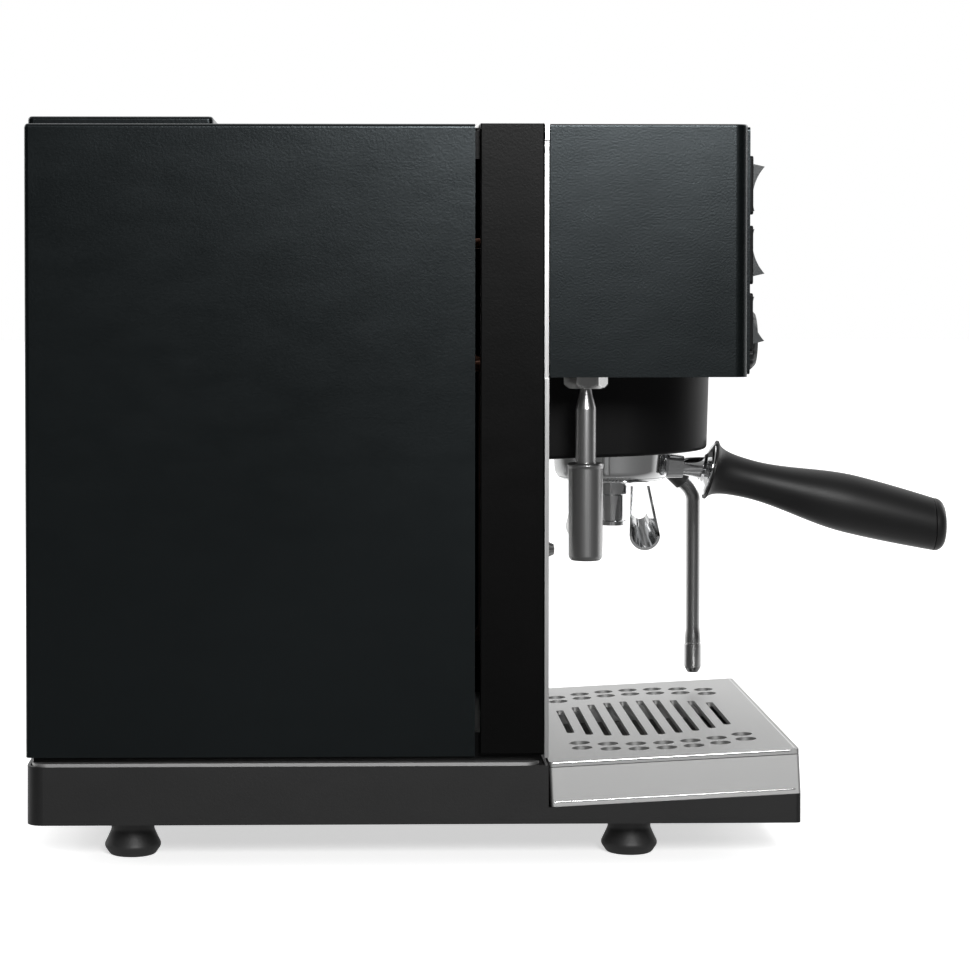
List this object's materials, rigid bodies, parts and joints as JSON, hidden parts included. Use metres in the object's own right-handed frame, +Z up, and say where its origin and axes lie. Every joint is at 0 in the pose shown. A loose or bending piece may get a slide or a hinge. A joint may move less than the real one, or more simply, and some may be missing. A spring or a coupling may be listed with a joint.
{
  "type": "espresso machine",
  "caption": "Compact two-boiler espresso machine with a bayonet portafilter, hot-water outlet, swivelling steam wand, rocker switches, lift-out water tank and pitched drip tray.",
  "frame": {"origin": "centre of the bounding box at floor level", "axes": "+Z up, the front with the portafilter handle faces -Y, +X is the user's right"},
  "size_m": [0.25, 0.5134, 0.3969],
  "materials": {
    "body_black": "satin",
    "column_black": "matte",
    "base_black": "satin",
    "stainless": "brushed",
    "polished_steel": "polished",
    "chrome": "polished",
    "rubber": "matte",
    "grip_black": "soft touch",
    "plastic_black": "fine grain",
    "brass": "plated",
    "copper": "drawn",
    "galvanised": "plated",
    "dial_white": "printed",
    "needle_red": "satin",
    "lens": "clear",
    "display_glass": "gloss",
    "tank_plastic": "translucent moulded",
    "seal": "moulded"
  },
  "bodies": {
    "machine": {"feet": "rubber", "base_pan": "base_black", "deck_plate": "stainless", "inner_frame": "column_black", "side_panel_left": "body_black", "side_panel_right": "body_black", "rear_panel": "body_black", "top_panel": "stainless", "column_left": "column_black", "column_right": "column_black", "backsplash": "stainless", "backsplash_screws": "polished_steel", "head_shell": "body_black", "front_plate": "body_black", "group_cover": "plastic_black", "group_head": "chrome", "bayonet_collar": "chrome", "group_gasket": "seal", "diffuser": "brass", "shower_screen": "stainless", "water_nut": "polished_steel", "water_outlet": "polished_steel", "water_sleeve": "polished_steel", "steam_nut": "polished_steel", "steam_valve": "brass", "rocker_bezels": "plastic_black", "display_frame": "plastic_black", "display_lens": "display_glass", "gauge_case": "chrome", "gauge_dial": "dial_white", "gauge_lens": "lens", "brew_boiler": "stainless", "steam_boiler": "stainless", "pump": "galvanised", "control_box": "plastic_black", "valves": "brass", "pipework": "copper", "power_inlet": "plastic_black"},
    "top_rocker": {"rocker_top": "plastic_black"},
    "middle_rocker": {"rocker_middle": "plastic_black"},
    "bottom_rocker": {"rocker_bottom": "plastic_black"},
    "left_button": {"button_left": "plastic_black"},
    "right_button": {"button_right": "plastic_black"},
    "needle": {"gauge_needle": "needle_red"},
    "knob": {"steam_knob": "plastic_black"},
    "wand_seat": {"steam_seat": "seal"},
    "wand": {"steam_wand": "polished_steel", "steam_sleeve": "rubber", "steam_tip": "polished_steel"},
    "portafilter": {"portafilter": "chrome", "filter_basket": "polished_steel", "basket_spring": "polished_steel", "spout": "chrome", "handle_ferrule": "chrome", "handle_grip": "grip_black", "handle_cap": "grip_black"},
    "tank": {"water_tank": "tank_plastic"},
    "lid": {"tank_lid": "body_black"},
    "tray": {"drip_tray": "stainless"},
    "grid": {"drip_grid": "stainless"}
  },
  "joints": [
    {"name": "top_rocker_press", "type": "hinge", "parent": "machine", "child": "top_rocker", "pos_m": [-0.098, -0.1254, 0.3607], "axis": [1, 0, 0], "range_deg": [-26, 0]},
    {"name": "middle_rocker_press", "type": "hinge", "parent": "machine", "child": "middle_rocker", "pos_m": [-0.098, -0.1254, 0.3235], "axis": [1, 0, 0], "range_deg": [0, 26]},
    {"name": "bottom_rocker_press", "type": "hinge", "parent": "machine", "child": "bottom_rocker", "pos_m": [-0.098, -0.1254, 0.2874], "axis": [1, 0, 0], "range_deg": [0, 26]},
    {"name": "left_button_press", "type": "slide", "parent": "machine", "child": "left_button", "axis": [0, 1, 0], "range_m": [0, 0.0012], "stiffness_N_per_m": 300, "springref_m": -0.001},
    {"name": "right_button_press", "type": "slide", "parent": "machine", "child": "right_button", "axis": [0, 1, 0], "range_m": [0, 0.0012], "stiffness_N_per_m": 300, "springref_m": -0.001},
    {"name": "needle_sweep", "type": "hinge", "parent": "machine", "child": "needle", "pos_m": [0.08, -0.1273, 0.34], "axis": [0, 1, 0], "range_deg": [0, 270]},
    {"name": "steam_knob_turn", "type": "hinge", "parent": "machine", "child": "knob", "pos_m": [0.08, -0.1433, 0.2728], "axis": [0, -1, 0], "range_deg": [0, 330]},
    {"name": "wand_swivel", "type": "hinge", "parent": "machine", "child": "wand_seat", "pos_m": [0.085, -0.0633, 0.251], "axis": [0, 0, 1], "range_deg": [-15, 60]},
    {"name": "wand_tilt", "type": "hinge", "parent": "wand_seat", "child": "wand", "pos_m": [0.085, -0.0633, 0.251], "axis": [1, 0, 0], "range_deg": [-18, 4]},
    {"name": "portafilter_turn", "type": "hinge", "parent": "machine", "child": "portafilter", "pos_m": [0, -0.0658, 0.225], "axis": [0, 0, 1], "range_deg": [-45, 0]},
    {"name": "tank_lift", "type": "slide", "parent": "machine", "child": "tank", "axis": [0, 0, 1], "range_m": [0, 0.2]},
    {"name": "lid_lift", "type": "slide", "parent": "tank", "child": "lid", "axis": [0, 0, 1], "range_m": [0, 0.06]},
    {"name": "tray_slide", "type": "slide", "parent": "machine", "child": "tray", "axis": [0, -0.9987, 0.0512], "range_m": [0, 0.12]},
    {"name": "grid_lift", "type": "slide", "parent": "tray", "child": "grid", "axis": [0, 0, 1], "range_m": [0, 0.009]}
  ]
}
